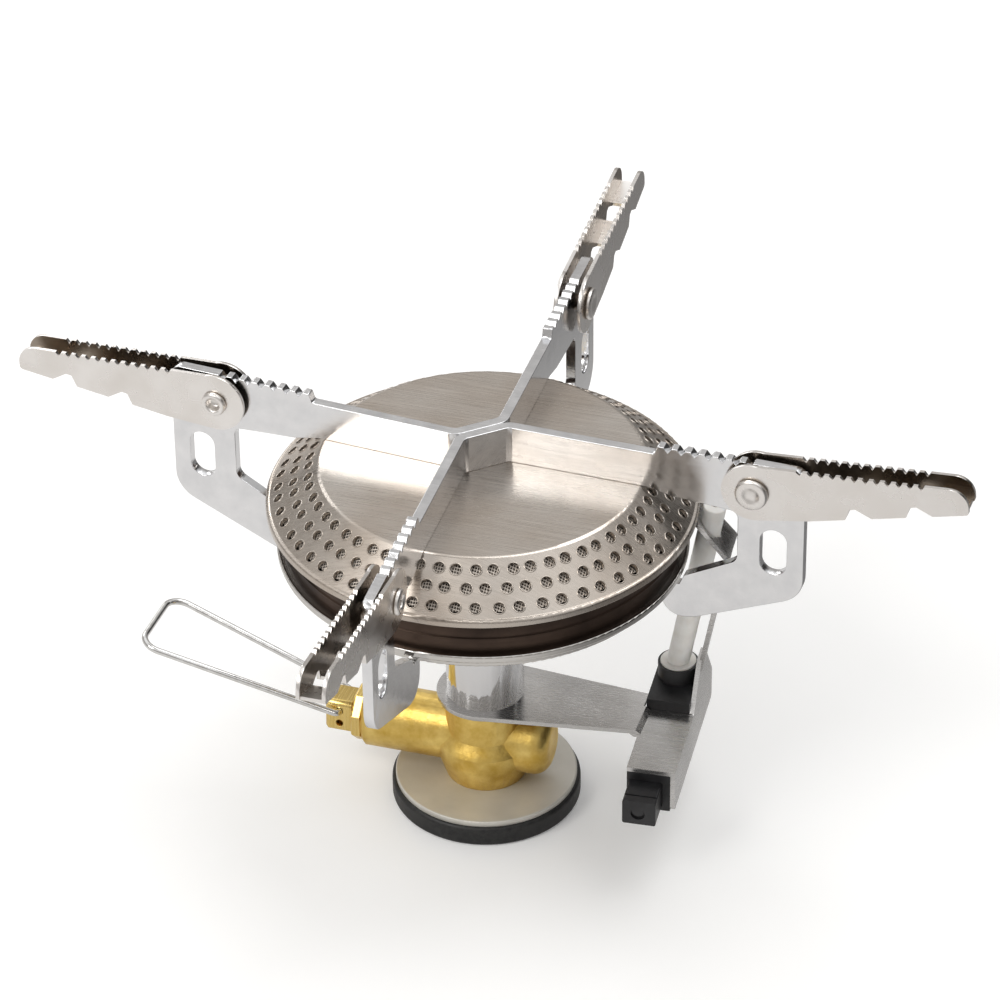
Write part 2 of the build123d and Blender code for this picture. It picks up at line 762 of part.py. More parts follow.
with BuildPart() as piezo_housing:
    with BuildSketch(igniter_front(box_front)):
        with BuildLine():
            Polyline(
                (box_left + 0.05, housing_z),
                (wall_in - 0.05, housing_z),
                (wall_in - 0.05, housing_top),
                (box_left + 0.05, housing_top),
                close=True,
            )
        make_face()
    extrude(amount=box_front - box_rear)
    chamfer(piezo_housing.faces().sort_by(Axis.Z)[0].edges(), 0.4)
    # raised block and round socket behind the cover
    with BuildSketch(igniter.offset(housing_top - 1)):
        with BuildLine():
            Polyline(
                (box_left + 0.05, plate_rear + 0.05),
                (wall_in - 0.05, plate_rear + 0.05),
                (wall_in - 0.05, box_rear),
                (box_left + 0.05, box_rear),
                close=True,
            )
        make_face()
    extrude(amount=4.2)
    with BuildSketch(igniter.offset(housing_top)):
        with Locations((ceramic_foot[0], 0)):
            Circle(socket_r)
    extrude(amount=ceramic_foot[2] - 0.3 - housing_top)
    # slot for the button, its lug groove, the striker bore and the crystal's seat
    with BuildSketch(igniter_front(box_front)):
        with Locations(button_mid):
            Rectangle(button_w + 2 * SLIP, button_h + 2 * SLIP)
    extrude(amount=box_front - slot_rear_y, mode=Mode.SUBTRACT)
    with BuildSketch(igniter_front(button_rear_y - 1.6)):
        with Locations((button_mid[0], button_z)):
            Rectangle(lug_w + 2 * SLIP, 2 * lug_h + 2 * SLIP)
    extrude(amount=button_rear_y - 1.6 - slot_rear_y, mode=Mode.SUBTRACT)
    with BuildSketch(igniter_front(slot_rear_y - 0.5)):
        with Locations((striker_x, striker_z)):
            Circle(2.3)
    extrude(amount=slot_rear_y - 0.5 - crystal_y - 6.0, mode=Mode.SUBTRACT)
    with BuildSketch(igniter.offset(ceramic_foot[2] - 2.3)):
        with Locations((ceramic_foot[0], 0)):
            Circle(3.5)
    extrude(amount=2.3, mode=Mode.SUBTRACT)
    with BuildSketch(igniter.offset(striker_z)):
        with Locations((ceramic_foot[0], 0)):
            Circle(1.6)
    extrude(amount=ceramic_foot[2] - striker_z, mode=Mode.SUBTRACT)

with BuildPart() as piezo_button:
    with BuildSketch(igniter_front(box_front - button_out)):
        with Locations(button_mid):
            RectangleRounded(button_w, button_h, 0.4)
    extrude(amount=box_front - button_out - button_rear_y)
    with BuildSketch(igniter_front(button_rear_y - 1.5)):
        with Locations((button_mid[0], button_z)):
            Rectangle(lug_w, 2 * lug_h)
    extrude(amount=-1.5)
    # half-moon in the face and the step behind it
    with BuildSketch(igniter_front(box_front - button_out)):
        with Locations((button_mid[0] - 0.2, button_mid[1] - 0.2)):
            Circle(1.35)
        with Locations((button_mid[0] - 0.2, button_mid[1] + 0.4)):
            Circle(1.15, mode=Mode.SUBTRACT)
    extrude(amount=-0.6, mode=Mode.SUBTRACT)
    with BuildSketch(igniter.offset(button_top)):
        with Locations((button_mid[0], box_front - button_out + 1.9)):
            Rectangle(button_w + 1, 0.4)
    extrude(amount=-0.25, mode=Mode.SUBTRACT)

hammer_y = -12.0

with BuildPart() as piezo_spring:
    spring_axis = igniter_front(button_rear_y)
    spring_spot = spring_axis.from_local_coords((striker_x, striker_z, 0))
    spring_len, spring_r, spring_wire = hammer_y - button_rear_y, 1.5, 0.25
    with BuildLine():
        coil = Helix(
            pitch=1.1,
            height=spring_len - 2.2 * spring_wire,
            radius=spring_r,
            center=spring_spot + igniter.y_dir * (1.1 * spring_wire),
            direction=igniter.y_dir,
        )
    with BuildSketch(Plane(origin=coil @ 0, z_dir=coil % 0)):
        Circle(spring_wire)
    sweep()

with BuildPart() as piezo_hammer:
    with BuildSketch(igniter_front(hammer_y)):
        with Locations((striker_x, striker_z)):
            Circle(2.2)
    extrude(amount=hammer_y - crystal_y + button_travel + 0.2)

with BuildPart() as piezo_crystal:
    with BuildSketch(igniter_front(crystal_y)):
        with Locations((striker_x, striker_z)):
            Circle(2.3)
    extrude(amount=-6.0)
    with BuildSketch(igniter.offset(striker_z)):
        with Locations((ceramic_foot[0], 0)):
            Circle(1.2)
    extrude(amount=6.3)

with BuildPart() as insulator_bush:
    with BuildSketch(igniter.offset(ceramic_foot[2] - 2.3)):
        with Locations((ceramic_foot[0], 0)):
            Circle(3.45)
    extrude(amount=2.3)
    with BuildSketch(ceramic_plane(-4.0)):
        Circle(ceramic_r)
    extrude(amount=8.0, mode=Mode.SUBTRACT)

with BuildPart() as electrode_insulator:
    with BuildSketch(ceramic_plane(-1.6)):
        Circle(ceramic_r)
        Circle(0.55, mode=Mode.SUBTRACT)
    extrude(amount=ceramic_axis.length + 1.6)
    top_edges = electrode_insulator.edges().filter_by(GeomType.CIRCLE).sort_by(SortBy.RADIUS)[-2:]
    fillet(top_edges.sort_by(Axis.Z)[-1], 0.3)

with BuildPart() as electrode_wire:
    with BuildSketch(ceramic_plane(-5.0)):
        Circle(0.5)
    extrude(amount=ceramic_axis.length + 3.6)

# ---------------------------------------------------------------- nodes

pieces = {
    "base_gasket": base_gasket,
    "base_disc": base_disc,
    "valve_body": valve_body,
    "thread_seal": thread_seal,
    "depressor_pin": depressor_pin,
    "jet_filter": jet_filter,
    "jet": jet,
    "gland_nut": gland_nut,
    "spindle": spindle,
    "spindle_seal": spindle_seal,
    "control_handle": control_handle,
    "mixing_tube": mixing_tube,
    "tube_locknut": tube_locknut,
    "burner_pan": burner_pan,
    "burner_bowl": burner_bowl,
    "burner_cap": burner_cap,
    "flame_gauze": flame_gauze,
    "flow_spreader": flow_spreader,
    "pot_strip_a": pot_strip_a,
    "pot_strip_b": pot_strip_b,
    "igniter_bracket": igniter_bracket,
    "piezo_housing": piezo_housing,
    "piezo_button": piezo_button,
    "piezo_spring": piezo_spring,
    "piezo_hammer": piezo_hammer,
    "piezo_crystal": piezo_crystal,
    "insulator_bush": insulator_bush,
    "electrode_insulator": electrode_insulator,
    "electrode_wire": electrode_wire,
}
for name in arms:
    pieces[f"extension_{name}"] = extension(name)
    pieces[f"rivet_{name}"] = rivet(name)

for name, piece in pieces.items():
    write(piece, name)
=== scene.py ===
"""Looks of the folding canister stove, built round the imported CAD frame.

Everything is in metres in the CAD frame: +Z up the mixing tube, +X from the valve to the
igniter, the igniter's button facing -Y.
"""

import json
import math

import bmesh
import bpy
from mathutils import Matrix, Vector


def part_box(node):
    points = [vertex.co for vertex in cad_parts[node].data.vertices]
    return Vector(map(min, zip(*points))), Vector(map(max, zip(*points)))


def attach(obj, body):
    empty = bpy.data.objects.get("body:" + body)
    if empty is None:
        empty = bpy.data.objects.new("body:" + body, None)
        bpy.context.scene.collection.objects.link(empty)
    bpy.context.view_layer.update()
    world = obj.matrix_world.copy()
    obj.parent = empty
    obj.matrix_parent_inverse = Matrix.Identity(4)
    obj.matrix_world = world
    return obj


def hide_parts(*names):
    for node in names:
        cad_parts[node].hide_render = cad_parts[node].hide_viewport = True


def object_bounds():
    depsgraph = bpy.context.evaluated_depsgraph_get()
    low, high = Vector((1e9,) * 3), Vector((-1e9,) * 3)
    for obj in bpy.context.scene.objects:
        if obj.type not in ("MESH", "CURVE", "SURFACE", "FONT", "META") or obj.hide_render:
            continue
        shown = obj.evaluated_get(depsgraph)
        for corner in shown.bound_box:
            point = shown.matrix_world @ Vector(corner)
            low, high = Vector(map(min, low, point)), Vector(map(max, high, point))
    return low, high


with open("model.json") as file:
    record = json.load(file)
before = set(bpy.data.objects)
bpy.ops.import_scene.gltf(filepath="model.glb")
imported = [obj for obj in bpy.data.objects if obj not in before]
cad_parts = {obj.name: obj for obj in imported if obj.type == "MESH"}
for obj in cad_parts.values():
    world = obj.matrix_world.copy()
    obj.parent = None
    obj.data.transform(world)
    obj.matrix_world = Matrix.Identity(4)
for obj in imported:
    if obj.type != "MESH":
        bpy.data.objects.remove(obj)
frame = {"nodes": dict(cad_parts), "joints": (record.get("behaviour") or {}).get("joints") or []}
cad_low, cad_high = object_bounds()

MM = 0.001
upward = Vector((0, 0, 1))
nodes = frame["nodes"]
joints = {joint["name"]: joint for joint in frame["joints"]}
arm_names = ("right", "back", "left", "front")
dark_side = Vector((0.95, 0.31, 0)).normalized()    # where the studio is dark, for the metal

# ---------------------------------------------------------------- node helpers


def new_material(name, metallic, roughness=0.5):
    """A material with one Principled shader; returns it with its tree and shader."""
    material = bpy.data.materials.new(name)
    material.use_nodes = True
    tree = material.node_tree
    shader = tree.nodes["Principled BSDF"]
    shader.inputs["Metallic"].default_value = metallic
    shader.inputs["Roughness"].default_value = roughness
    return material, tree, shader


def place(tree, scale=(1, 1, 1), turn=0.0):
    """Object coordinates, in metres, scaled and turned about Z in degrees."""
    source = tree.nodes.new("ShaderNodeTexCoord")
    mapping = tree.nodes.new("ShaderNodeMapping")
    mapping.inputs["Scale"].default_value = scale
    mapping.inputs["Rotation"].default_value = (0, 0, math.radians(turn))
    tree.links.new(source.outputs["Object"], mapping.inputs["Vector"])
    return mapping.outputs["Vector"]


def math_node(tree, operation, first, second=0.0):
    """A math node on sockets or numbers."""
    node = tree.nodes.new("ShaderNodeMath")
    node.operation = operation
    for socket, value in zip(node.inputs, (first, second)):
        if isinstance(value, (int, float)):
            socket.default_value = value
        else:
            tree.links.new(value, socket)
    return node.outputs["Value"]


def split_xyz(tree, vector):
    """The X, Y and Z sockets of a vector socket."""
    node = tree.nodes.new("ShaderNodeSeparateXYZ")
    tree.links.new(vector, node.inputs["Vector"])
    return node.outputs["X"], node.outputs["Y"], node.outputs["Z"]


def join_xyz(tree, *parts):
    """A vector socket from up to three number sockets."""
    node = tree.nodes.new("ShaderNodeCombineXYZ")
    for part, socket in zip(parts, node.inputs):
        tree.links.new(part, socket)
    return node.outputs["Vector"]


def along(tree, vector, direction):
    """How far a vector socket reaches in a fixed direction."""
    node = tree.nodes.new("ShaderNodeVectorMath")
    node.operation = "DOT_PRODUCT"
    node.inputs[1].default_value = direction
    tree.links.new(vector, node.inputs[0])
    return node.outputs["Value"]


def around_axis(tree, per_turn, per_metre):
    """Coordinates that run round Z, out from Z and up Z, for marks left by spinning or turning."""
    x, y, z = split_xyz(tree, place(tree))
    reach = tree.nodes.new("ShaderNodeVectorMath")
    reach.operation = "LENGTH"
    tree.links.new(join_xyz(tree, x, y), reach.inputs[0])
    return join_xyz(
        tree,
        math_node(tree, "MULTIPLY", math_node(tree, "ARCTAN2", y, x), per_turn),
        math_node(tree, "MULTIPLY", reach.outputs["Value"], per_metre),
        math_node(tree, "MULTIPLY", z, per_metre),
    )


def noise(tree, vector, scale, detail=3.0, rough=0.5):
    """Noise of about one feature per 1/scale metres."""
    node = tree.nodes.new("ShaderNodeTexNoise")
    node.inputs["Scale"].default_value = scale
    node.inputs["Detail"].default_value = detail
    node.inputs["Roughness"].default_value = rough
    tree.links.new(vector, node.inputs["Vector"])
    return node.outputs["Fac"]


def spread(tree, value, low, high, edge=0.3):
    """Maps the middle of a noise's range onto low..high."""
    node = tree.nodes.new("ShaderNodeMapRange")
    node.inputs["From Min"].default_value = edge
    node.inputs["From Max"].default_value = 1 - edge
    node.inputs["To Min"].default_value = low
    node.inputs["To Max"].default_value = high
    tree.links.new(value, node.inputs["Value"])
    return node.outputs["Result"]


def smooth_step(tree, value, start, end):
    """0 below start, 1 above end, with a smooth rise between them."""
    node = tree.nodes.new("ShaderNodeMapRange")
    node.interpolation_type = "SMOOTHSTEP"
    node.inputs["From Min"].default_value = start
    node.inputs["From Max"].default_value = end
    tree.links.new(value, node.inputs["Value"])
    return node.outputs["Result"]


def mix(tree, factor, first, second, blend="MIX"):
    """Mixes two colours, each a tuple or a socket, by a factor socket or number."""
    node = tree.nodes.new("ShaderNodeMix")
    node.data_type = "RGBA"
    node.blend_type = blend
    if isinstance(factor, float):
        node.inputs["Factor"].default_value = factor
    else:
        tree.links.new(factor, node.inputs["Factor"])
    colors = [socket for socket in node.inputs if socket.type == "RGBA"]
    for socket, value in zip(colors, (first, second)):
        if isinstance(value, tuple):
            socket.default_value = (*value, 1)
        else:
            tree.links.new(value, socket)
    return [socket for socket in node.outputs if socket.type == "RGBA"][0]


def tint(tree, shader, pattern, dark, light, edge=0.3):
    """Colours the surface from dark to light by a noise."""
    color = mix(tree, spread(tree, pattern, 0.0, 1.0, edge), dark, light)
    tree.links.new(color, shader.inputs["Base Color"])


def polish(tree, shader, pattern, low, high):
    """Lets the roughness vary from low to high by a noise."""
    tree.links.new(spread(tree, pattern, low, high), shader.inputs["Roughness"])


def bump(tree, shader, height, depth):
    """Adds a height, with its depth in metres, to the shader's normal."""
    node = tree.nodes.new("ShaderNodeBump")
    node.inputs["Strength"].default_value = 1.0
    node.inputs["Distance"].default_value = depth
    tree.links.new(height, node.inputs["Height"])
    before = shader.inputs["Normal"].links
    if before:
        tree.links.new(before[0].from_socket, node.inputs["Normal"])
    tree.links.new(node.outputs["Normal"], shader.inputs["Normal"])


def scratches(tree, shader, depth, turn):
    """A few long thin scratches at an angle in degrees, the marks of use."""
    stretch, pitch = 20.8, 1560.0
    lines = noise(tree, place(tree, (stretch, pitch, pitch), turn), scale=1.0, detail=2.0)
    bump(tree, shader, spread(tree, lines, 0.0, 1.0, edge=0.36), depth)


# ---------------------------------------------------------------- materials


def brushed_cap():
    """Fine brushed stainless of the burner cap, warm where the flame has tinted it."""
    material, tree, shader = new_material("brushed_cap", metallic=1.0)
    cloud = noise(tree, place(tree), scale=38, detail=4.0)
    streak = noise(tree, place(tree, (60, 3200, 900), turn=4.0), scale=1.0, detail=4.0, rough=0.65)
    heat_tinted, clean = (0.52, 0.45, 0.385), (0.66, 0.615, 0.565)
    steel_color = mix(tree, spread(tree, cloud, 0.0, 1.0, edge=0.34), heat_tinted, clean)
    streak_shade = mix(tree, spread(tree, streak, 0.0, 1.0), (0.9, 0.9, 0.9), (1.0, 1.0, 1.0))
    color = mix(tree, 1.0, steel_color, streak_shade, blend="MULTIPLY")
    tree.links.new(color, shader.inputs["Base Color"])
    polish(tree, shader, streak, low=0.22, high=0.36)
    bump(tree, shader, streak, depth=0.006 * MM)
    bump(tree, shader, noise(tree, place(tree), scale=160), depth=0.03 * MM)
    return material


def spun_steel(name, color, roughness):
    """Stainless sheet with the concentric marks of spinning, for the pan and its rim."""
    material, tree, shader = new_material(name, metallic=1.0)
    rings = noise(tree, around_axis(tree, per_turn=1.5, per_metre=2600), scale=1.0, rough=0.6)
    tint(tree, shader, rings, dark=tuple(0.8 * part for part in color), light=color)
    polish(tree, shader, rings, low=roughness - 0.05, high=roughness + 0.1)
    bump(tree, shader, rings, depth=0.01 * MM)
    return material


def browned_bowl():
    """Dark heat-browned steel wall of the burner, with faint turning rings and soot clouds."""
    material, tree, shader = new_material("browned_bowl", metallic=0.75)
    rings = noise(tree, around_axis(tree, per_turn=1.2, per_metre=2400), scale=1.0)
    cloud = noise(tree, place(tree), scale=70, detail=4.0)
    tint(tree, shader, cloud, (0.03, 0.018, 0.013), (0.08, 0.052, 0.038), edge=0.35)
    polish(tree, shader, rings, low=0.3, high=0.5)
    bump(tree, shader, rings, depth=0.02 * MM)
    return material


def bright_plate():
    """Bright zinc-plated strip: smooth, very slightly rippled, with a little haze and wear."""
    material, tree, shader = new_material("bright_plate", metallic=1.0)
    haze = noise(tree, place(tree), scale=240, detail=5.0, rough=0.6)
    tint(tree, shader, haze, dark=(0.76, 0.765, 0.78), light=(0.88, 0.88, 0.89))
    polish(tree, shader, haze, low=0.1, high=0.24)
    bump(tree, shader, noise(tree, place(tree), scale=90, detail=2.0), depth=0.03 * MM)
    bump(tree, shader, noise(tree, place(tree), scale=1900), depth=0.004 * MM)
    scratches(tree, shader, depth=0.004 * MM, turn=35.0)
    return material


def inside_channel(tree, joint):
    """1 on faces that look towards the middle plane of a folding channel, 0 elsewhere: the mask of
    the painted shade in the fold.
    """
    source = tree.nodes.new("ShaderNodeTexCoord")
    axis, pivot = Vector(joint["axis"]), Vector(joint["pos_m"])
    from_middle = math_node(
        tree, "SUBTRACT", along(tree, source.outputs["Object"], axis), pivot.dot(axis)
    )
    facing = along(tree, source.outputs["Normal"], axis)
    inward = -0.5 * MM
    return math_node(tree, "LESS_THAN", math_node(tree, "MULTIPLY", from_middle, facing), inward)


def satin_nickel(arm):
    """Satin nickel of an extension: warmer and duller than the strips, with painted shade inside
    the fold.
    """
    material, tree, shader = new_material(f"satin_nickel_{arm}", metallic=1.0)
    cloud = noise(tree, place(tree), scale=130, detail=4.0)
    patches = spread(tree, cloud, 0.0, 1.0)
    clean = mix(tree, patches, (0.79, 0.755, 0.72), (0.9, 0.875, 0.85))
    # Painted shade: faces inside the fold are painted dark brown, in random patches, for the shade
    # that falls there.
    painted_fold_shade = mix(tree, patches, (0.2, 0.165, 0.13), (0.42, 0.36, 0.3))
    color = mix(tree, inside_channel(tree, joints[f"{arm}_fold"]), clean, painted_fold_shade)
    tree.links.new(color, shader.inputs["Base Color"])
    polish(tree, shader, cloud, low=0.2, high=0.34)
    bump(tree, shader, noise(tree, place(tree), scale=2600, rough=0.6), depth=0.01 * MM)
    bump(tree, shader, noise(tree, place(tree), scale=150, detail=2.0), depth=0.03 * MM)
    scratches(tree, shader, depth=0.006 * MM, turn=-20.0)
    return material


def mirror_chrome():
    """Mirror chrome of the mixing tube, with a breath of haze and a gentle waviness."""
    material, tree, shader = new_material("mirror_chrome", metallic=1.0)
    shader.inputs["Base Color"].default_value = (0.9, 0.905, 0.92, 1)
    haze = noise(tree, place(tree), scale=500, detail=4.0)
    polish(tree, shader, haze, low=0.03, high=0.09)
    bump(tree, shader, noise(tree, place(tree), scale=60, detail=1.0), depth=0.02 * MM)
    return material


def cast_brass():
    """Bead-blasted cast brass: fine grain, soft waves and browner patches at random."""
    material, tree, shader = new_material("cast_brass", metallic=1.0)
    cloud = noise(tree, place(tree), scale=210, detail=5.0, rough=0.6)
    tint(tree, shader, cloud, (0.66, 0.43, 0.09), (0.9, 0.67, 0.22), edge=0.34)
    grain = noise(tree, place(tree), scale=2300, detail=4.0, rough=0.65)
    polish(tree, shader, grain, low=0.3, high=0.46)
    bump(tree, shader, grain, depth=0.06 * MM)
    bump(tree, shader, noise(tree, place(tree), scale=420), depth=0.09 * MM)
    return material


def turned_brass():
    """Machined brass of the spindle and gland nut, with rings from the lathe."""
    material, tree, shader = new_material("turned_brass", metallic=1.0)
    rings = noise(tree, place(tree, (2600, 60, 60)), scale=1.0)
    tint(tree, shader, rings, dark=(0.8, 0.57, 0.18), light=(0.9, 0.68, 0.26))
    polish(tree, shader, rings, low=0.18, high=0.32)
    bump(tree, shader, rings, depth=0.004 * MM)
    return material


def anodised_disc():
    """Beige-grey satin disc under the valve, with very fine turning marks."""
    material, tree, shader = new_material("anodised_disc", metallic=0.35)
    rings = noise(tree, around_axis(tree, per_turn=0.8, per_metre=5200), scale=1.0, detail=2.0)
    cloud = noise(tree, place(tree), scale=120)
    tint(tree, shader, cloud, dark=(0.58, 0.56, 0.505), light=(0.68, 0.66, 0.605))
    polish(tree, shader, rings, low=0.34, high=0.5)
    bump(tree, shader, rings, depth=0.006 * MM)
    return material


def black_rubber():
    """Matt black rubber with a moulded skin and a dusting of grey."""
    material, tree, shader = new_material("black_rubber", metallic=0.0)
    dust = noise(tree, place(tree), scale=900, detail=5.0, rough=0.7)
    tint(tree, shader, dust, (0.006, 0.006, 0.0065), (0.022, 0.022, 0.021), edge=0.4)
    polish(tree, shader, dust, low=0.38, high=0.62)
    bump(tree, shader, dust, depth=0.03 * MM)
    return material


def brushed_bracket():
    """Cold-rolled steel of the igniter bracket, brushed along its length."""
    material, tree, shader = new_material("brushed_bracket", metallic=1.0)
    streak = noise(tree, place(tree, (70, 2600, 2600), turn=-8.0), scale=1.0, rough=0.6)
    cloud = noise(tree, place(tree), scale=60)
    tint(tree, shader, cloud, dark=(0.55, 0.54, 0.53), light=(0.76, 0.75, 0.74))
    polish(tree, shader, streak, low=0.18, high=0.34)
    bump(tree, shader, streak, depth=0.003 * MM)
    return material


def black_plastic():
    """Satin black moulded plastic with a fine spark-eroded texture."""
    material, tree, shader = new_material("black_plastic", metallic=0.0)
    grain = noise(tree, place(tree), scale=2600, rough=0.6)
    sheen = noise(tree, place(tree), scale=260)
    tint(tree, shader, sheen, dark=(0.007, 0.007, 0.008), light=(0.022, 0.022, 0.024))
    polish(tree, shader, grain, low=0.28, high=0.46)
    bump(tree, shader, grain, depth=0.012 * MM)
    return material


def white_ceramic():
    """Unglazed white ceramic of the electrode, slightly waxy, with a hint of grime."""
    material, tree, shader = new_material("white_ceramic", metallic=0.0)
    cloud = noise(tree, place(tree), scale=320, detail=4.0)
    tint(tree, shader, cloud, dark=(0.79, 0.765, 0.72), light=(0.9, 0.89, 0.865))
    polish(tree, shader, cloud, low=0.34, high=0.52)
    shader.inputs["Subsurface Weight"].default_value = 0.15
    shader.inputs["Subsurface Radius"].default_value = (MM, 0.8 * MM, 0.6 * MM)
    bump(tree, shader, noise(tree, place(tree), scale=3000), depth=0.008 * MM)
    return material


def drawn_wire():
    """Bright nickel-plated wire, drawn along its length."""
    material, tree, shader = new_material("drawn_wire", metallic=1.0)
    worn = noise(tree, place(tree), scale=700, detail=4.0, rough=0.6)
    tint(tree, shader, worn, dark=(0.66, 0.65, 0.635), light=(0.86, 0.86, 0.855))
    polish(tree, shader, worn, low=0.08, high=0.22)
    bump(tree, shader, noise(tree, place(tree), scale=3600, detail=2.0), depth=0.003 * MM)
    return material


def heat_gauze():
    """Woven wire of the flame gauze, oxidised, drawn as a fine weave in relief, with painted shade
    in the gaps between the wires.
    """
    material, tree, shader = new_material("heat_gauze", metallic=1.0, roughness=0.35)
    waves = []
    for direction in ("X", "Y"):
        wave = tree.nodes.new("ShaderNodeTexWave")
        wave.bands_direction = direction
        wave.inputs["Scale"].default_value = 620
        tree.links.new(place(tree), wave.inputs["Vector"])
        waves.append(wave.outputs["Fac"])
    weave = math_node(tree, "MAXIMUM", *waves)
    # Painted shade: the gaps between the wires are painted near black.
    painted_gap_shade, wire_color = (0.02, 0.017, 0.015), (0.55, 0.5, 0.45)
    tree.links.new(mix(tree, weave, painted_gap_shade, wire_color), shader.inputs["Base Color"])
    bump(tree, shader, weave, depth=0.12 * MM)
    return material


def spring_steel():
    """Blued spring steel and hardened striker faces."""
    material, tree, shader = new_material("spring_steel", metallic=1.0, roughness=0.26)
    cloud = noise(tree, place(tree), scale=900)
    tint(tree, shader, cloud, dark=(0.3, 0.31, 0.34), light=(0.5, 0.5, 0.51))
    bump(tree, shader, cloud, depth=0.01 * MM)
    return material


def sintered_bronze():
    """Porous sintered bronze of the jet filter, with painted shade in the pores between the
    grains.
    """
    material, tree, shader = new_material("sintered_bronze", metallic=1.0)
    cells = tree.nodes.new("ShaderNodeTexVoronoi")
    cells.inputs["Scale"].default_value = 4200
    tree.links.new(place(tree), cells.inputs["Vector"])
    # Painted shade: the pores between the grains are painted dark brown.
    grain_color, painted_pore_shade = (0.58, 0.38, 0.21), (0.18, 0.11, 0.06)
    color = mix(tree, cells.outputs["Distance"], grain_color, painted_pore_shade)
    tree.links.new(color, shader.inputs["Base Color"])
    bump(tree, shader, cells.outputs["Distance"], depth=-0.08 * MM)
    return material


def pale_floor():
    """Plain pale matt floor; glossy rays see a painted reflection instead, a darker floor that
    falls off towards the dark side.
    """
    material, tree, shader = new_material("pale_floor", metallic=0.0, roughness=0.85)
    tone = spread(tree, noise(tree, place(tree), scale=3.0, detail=2.0), 0.0, 1.0)
    seen = mix(tree, tone, (0.92, 0.92, 0.915), (0.94, 0.94, 0.935))
    fall = smooth_step(tree, along(tree, place(tree), dark_side), start=0.02, end=0.11)
    # Painted reflection: glossy rays see this darker floor, near black towards the dark side, in
    # place of the pale one.
    painted_reflection = mix(tree, fall, (0.6, 0.59, 0.58), (0.05, 0.047, 0.045))
    path = tree.nodes.new("ShaderNodeLightPath")
    color = mix(tree, path.outputs["Is Glossy Ray"], seen, painted_reflection)
    tree.links.new(color, shader.inputs["Base Color"])
    shader.inputs["Emission Color"].default_value = (1, 1, 1, 1)
    shader.inputs["Emission Strength"].default_value = 0.13
    return material


brass_body, brass_turned = cast_brass(), turned_brass()
plate = bright_plate()
nickel = {arm: satin_nickel(arm) for arm in arm_names}
rubber, plastic, ceramic = black_rubber(), black_plastic(), white_ceramic()
cap_steel, wire, steel = brushed_cap(), drawn_wire(), spring_steel()
pan_steel = spun_steel("spun_pan", (0.7, 0.68, 0.65), roughness=0.18)
plain_steel = spun_steel("plain_steel", (0.55, 0.53, 0.5), roughness=0.32)

finishes = {
    "base_gasket": rubber,
    "base_disc": anodised_disc(),
    "valve_body": brass_body,
    "thread_seal": rubber,
    "depressor_pin": steel,
    "jet_filter": sintered_bronze(),
    "jet": brass_turned,
    "gland_nut": brass_turned,
    "spindle": brass_turned,
    "spindle_seal": rubber,
    "control_handle": wire,
    "mixing_tube": mirror_chrome(),
    "tube_locknut": plain_steel,
    "burner_pan": pan_steel,
    "burner_bowl": browned_bowl(),
    "burner_cap": cap_steel,
    "flame_gauze": heat_gauze(),
    "flow_spreader": plain_steel,
    "pot_strip_a": plate,
    "pot_strip_b": plate,
    "igniter_bracket": brushed_bracket(),
    "piezo_housing": plastic,
    "piezo_button": plastic,
    "piezo_spring": steel,
    "piezo_hammer": steel,
    "piezo_crystal": ceramic,
    "insulator_bush": ceramic,
    "electrode_insulator": ceramic,
    "electrode_wire": steel,
}
for arm in arm_names:
    finishes[f"extension_{arm}"] = nickel[arm]
    finishes[f"rivet_{arm}"] = nickel[arm]

# Width of the rounded edge of each CAD node, in millimetres; the others keep their edges.
edge_rounding = {
    "valve_body": 0.35,
    "gland_nut": 0.12,
    "spindle": 0.15,
    "base_disc": 0.1,
    "pot_strip_a": 0.16,
    "pot_strip_b": 0.16,
    "igniter_bracket": 0.12,
    "piezo_housing": 0.25,
    "piezo_button": 0.2,
    "tube_locknut": 0.2,
    "mixing_tube": 0.12,
}
for arm in arm_names:
    edge_rounding[f"extension_{arm}"] = 0.12

weld_gap, edge_segments = 0.001 * MM, 2
flat_angle, edge_angle = math.radians(0.4), math.radians(32)


def dress(node):
    """Gives a CAD node its finish and rounds its edges with modifiers, leaving its mesh alone."""
    thing = nodes[node]
    thing.data.materials.clear()
    thing.data.materials.append(finishes[node])
    if node not in edge_rounding:
        return
    weld = thing.modifiers.new("weld", "WELD")
    weld.merge_threshold = weld_gap
    flat = thing.modifiers.new("flat", "DECIMATE")
    flat.decimate_type = "DISSOLVE"
    flat.angle_limit = flat_angle
    edge = thing.modifiers.new("edge", "BEVEL")
    edge.width = edge_rounding[node] * MM
    edge.segments = edge_segments
    edge.limit_method = "ANGLE"
    edge.angle_limit = edge_angle
    edge.harden_normals = True
    edge.use_clamp_overlap = True


for name in nodes:
    dress(name)

# ---------------------------------------------------------------- pieces


def add_piece(name, mesh, body, material):
    """Links a mesh as a shaded piece that rides on a CAD body."""
    piece = bpy.data.objects.new(name, mesh)
    bpy.context.scene.collection.objects.link(piece)
    mesh.materials.append(material)
    for polygon in mesh.polygons:
        polygon.use_smooth = True
    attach(piece, body)
    return piece


def mesh_from(shape, name):
    """Turns a bmesh into a mesh and frees it."""
    mesh = bpy.data.meshes.new(name)
    shape.to_mesh(mesh)
    shape.free()
    return mesh


def spin_point(radius, angle, height):
    """A point at a radius and an angle, in radians, round Z."""
    return Vector((radius * math.cos(angle), radius * math.sin(angle), height))


def seat_at(place_at, axis):
    """Matrix that puts the origin at a place and turns Z to an axis."""
    turn = upward.rotation_difference(axis).to_matrix().to_4x4()
    return Matrix.Translation(place_at) @ turn


